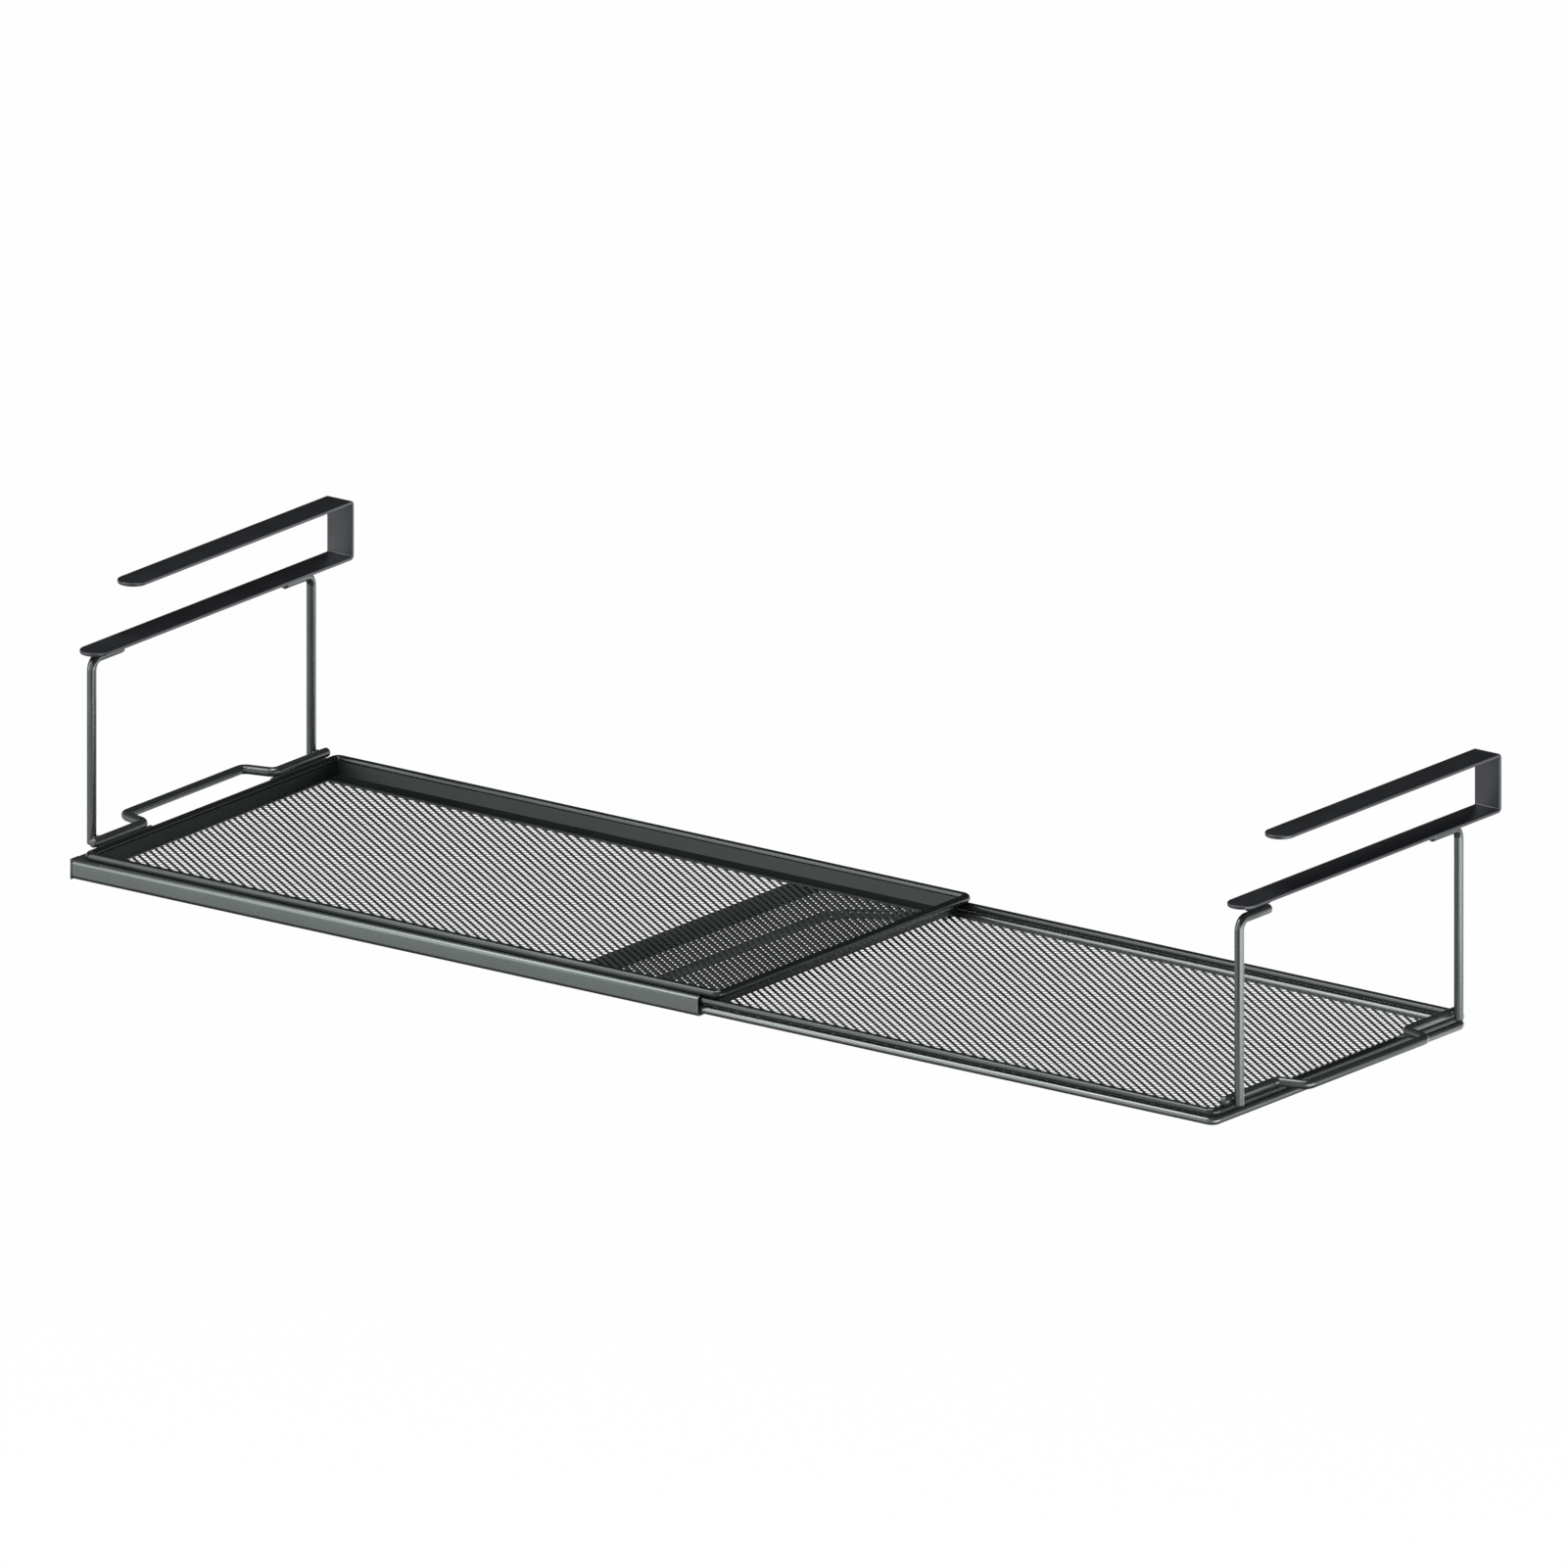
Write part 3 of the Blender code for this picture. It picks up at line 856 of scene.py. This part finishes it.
def whiteSky():
    world = bpy.data.worlds.new("studio")
    bpy.context.scene.world = world
    world.use_nodes = True
    tree = world.node_tree
    tree.nodes.clear()
    seen = tree.nodes.new("ShaderNodeBackground")
    lit = tree.nodes.new("ShaderNodeBackground")
    blend = tree.nodes.new("ShaderNodeMixShader")
    out = tree.nodes.new("ShaderNodeOutputWorld")
    seen.inputs["Color"].default_value = (1, 1, 1, 1)
    lit.inputs["Color"].default_value = (*studio["skyTone"], 1)
    lit.inputs["Strength"].default_value = studio["skyStrength"]
    tree.links.new(cameraSees(tree), blend.inputs["Fac"])
    tree.links.new(lit.outputs[0], blend.inputs[1])
    tree.links.new(seen.outputs[0], blend.inputs[2])
    tree.links.new(blend.outputs[0], out.inputs["Surface"])


def flatFinish(name, tone, rough):
    material = bpy.data.materials.new(name)
    material.use_nodes = True
    shader = material.node_tree.nodes["Principled BSDF"]
    shader.inputs["Base Color"].default_value = (*tone, 1)
    shader.inputs["Roughness"].default_value = rough
    shader.inputs["Specular IOR Level"].default_value = 0
    return material, shader


def paleFloor():
    deselectAll()
    spot = (*studio["middle"][:2], -studio["floorDrop"])
    bpy.ops.mesh.primitive_plane_add(size=studio["floorSize"], location=spot)
    floor = bpy.context.active_object
    floor.name = "floor"
    material, shader = flatFinish("floorPaper", studio["floorTone"], 0.9)
    tree = material.node_tree
    glow = tree.nodes.new("ShaderNodeEmission")
    blend = tree.nodes.new("ShaderNodeMixShader")
    share = tree.nodes.new("ShaderNodeMath")
    share.operation = "MULTIPLY"
    share.inputs[1].default_value = studio["floorWhite"]
    tree.links.new(cameraSees(tree), share.inputs[0])
    tree.links.new(share.outputs[0], blend.inputs["Fac"])
    tree.links.new(shader.outputs[0], blend.inputs[1])
    tree.links.new(glow.outputs[0], blend.inputs[2])
    tree.links.new(blend.outputs[0], tree.nodes["Material Output"].inputs["Surface"])
    floor.data.materials.append(material)


photoView = {
    "azimuth": 36.93,
    "elevation": 17.04,
    "scale": 0.8005,
    "aside": 0.2974,      # image centre, from the frame's origin in the picture plane
    "below": 0.11652,
    "distance": 2.0,
}


# A cloth or a softbox stands at an angle from the camera's own direction, positive to the right.
def fromMiddle(angle, distance, height):
    turn = math.radians(photoView["azimuth"] + angle)
    way = Vector((math.sin(turn) * distance, -math.cos(turn) * distance, height))
    return studio["middle"] + way


def facing(spot, aim):
    return (Vector(spot) - Vector(aim)).to_track_quat("Z", "Y").to_euler()


def blackCloth(name, spot, aim, size):
    deselectAll()
    bpy.ops.mesh.primitive_plane_add(size=1, location=spot)
    cloth = bpy.context.active_object
    cloth.name = name
    cloth.scale = (*size, 1)
    cloth.rotation_euler = facing(spot, aim)
    cloth.visible_camera = False
    cloth.visible_shadow = False
    cloth.visible_diffuse = False
    cloth.data.materials.append(flatFinish(name, studio["clothTone"], 1)[0])


def softbox(name, spot, size, power, tint):
    light = bpy.data.lights.new(name, "AREA")
    light.shape = "RECTANGLE"
    light.size, light.size_y = size
    light.energy = power
    light.color = tint
    item = bpy.data.objects.new(name, light)
    bpy.context.collection.objects.link(item)
    item.location = spot
    item.rotation_euler = facing(spot, studio["middle"])


def photoCamera():
    turn, rise = math.radians(photoView["azimuth"]), math.radians(photoView["elevation"])
    right = Vector((math.cos(turn), math.sin(turn), 0))
    back = Vector((math.sin(turn) * math.cos(rise), -math.cos(turn) * math.cos(rise),
                   math.sin(rise)))
    up = back.cross(right)
    data = bpy.data.cameras.new("photoCamera")
    data.type = "ORTHO"
    data.ortho_scale = photoView["scale"]
    data.clip_end = 100
    item = bpy.data.objects.new("photoCamera", data)
    bpy.context.collection.objects.link(item)
    item.location = (right * photoView["aside"] - up * photoView["below"]
                     + back * photoView["distance"])
    item.rotation_euler = Matrix((right, up, back)).transposed().to_euler()
    bpy.context.scene.camera = item


# Black cloth on frames, as for any black product: without it the coat mirrors the white set.
levelCloths = {     # place, aim and size
    "ceilingCloth": ((0.36, 0, 3.2), (0.36, 0, -0.12), (8, 8)),
    "floorCloth": ((0.61, 0, -0.62), (0.61, 0, 0), (2.5, 1.2)),
}
uprightCloths = {     # angle, distance, height and size
    "backCloth": (180, 3, 1.6, (3.8, 3.6)),
    "frontCloth": (-8, 1.9, -0.3, (1.7, 0.6)),
    "highCloth-128": (-128, 3, 2, (3, 2.8)),
    "highCloth-76": (-76, 3, 2, (3, 2.8)),
    "highCloth28": (28, 3, 2, (3, 2.8)),
    "highCloth76": (76, 3, 2, (3, 2.8)),
    "highCloth128": (128, 3, 2, (3, 2.8)),
}
softboxes = {     # place, size, watts and tint
    "overhead": ((0.46, -0.2, 1.5), (0.9, 0.9), 20, (1, 1, 1)),
    "highLeft": (fromMiddle(-78, 1.5, 1.9), (1.4, 1.0), 22, (1, 1, 1)),
    "frontLeft": (fromMiddle(-80, 2.2, 0.9), (1.4, 2.4), 30, (1, 1, 1)),
    "rightSide": (fromMiddle(50, 1.33, -0.2), (1.5, 0.8), 14.5, (0.95, 0.98, 1)),
    "farRight": (fromMiddle(116, 1.3, -0.36), (0.55, 0.5), 2.2, (0.95, 0.98, 1)),
}

whiteSky()
paleFloor()
for name, (spot, aim, size) in levelCloths.items():
    blackCloth(name, spot, aim, size)
for name, (angle, distance, height, size) in uprightCloths.items():
    blackCloth(name, fromMiddle(angle, distance, height), fromMiddle(angle, 0, height), size)
for name, (spot, size, power, tint) in softboxes.items():
    softbox(name, spot, size, power, tint)
photoCamera()
bpy.context.scene.view_settings.view_transform = "Standard"
print("studio lit")
